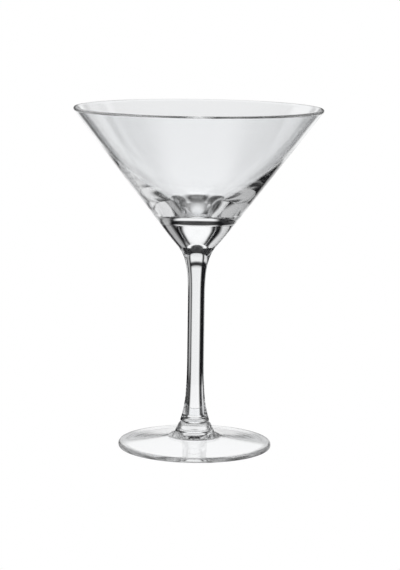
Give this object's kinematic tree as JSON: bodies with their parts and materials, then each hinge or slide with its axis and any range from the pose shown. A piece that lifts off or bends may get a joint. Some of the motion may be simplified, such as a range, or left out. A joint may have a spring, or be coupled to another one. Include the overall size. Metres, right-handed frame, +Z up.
{
  "type": "martini glass",
  "caption": "Clear stemmed cocktail glass with a wide straight-sided conical bowl, a slender stem flared at both ends and a thin disc foot.",
  "frame": {"origin": "centre of the plane that the foot rests on", "axes": "+Z up along the stem to the rim; the glass is round about Z, so X and Y are alike"},
  "size_m": [0.116, 0.116, 0.16],
  "materials": {
    "clear_glass": "clear, colourless, fire-polished gloss"
  },
  "bodies": {
    "root": {"bowl": "clear_glass", "stem": "clear_glass", "foot": "clear_glass"}
  },
  "joints": []
}
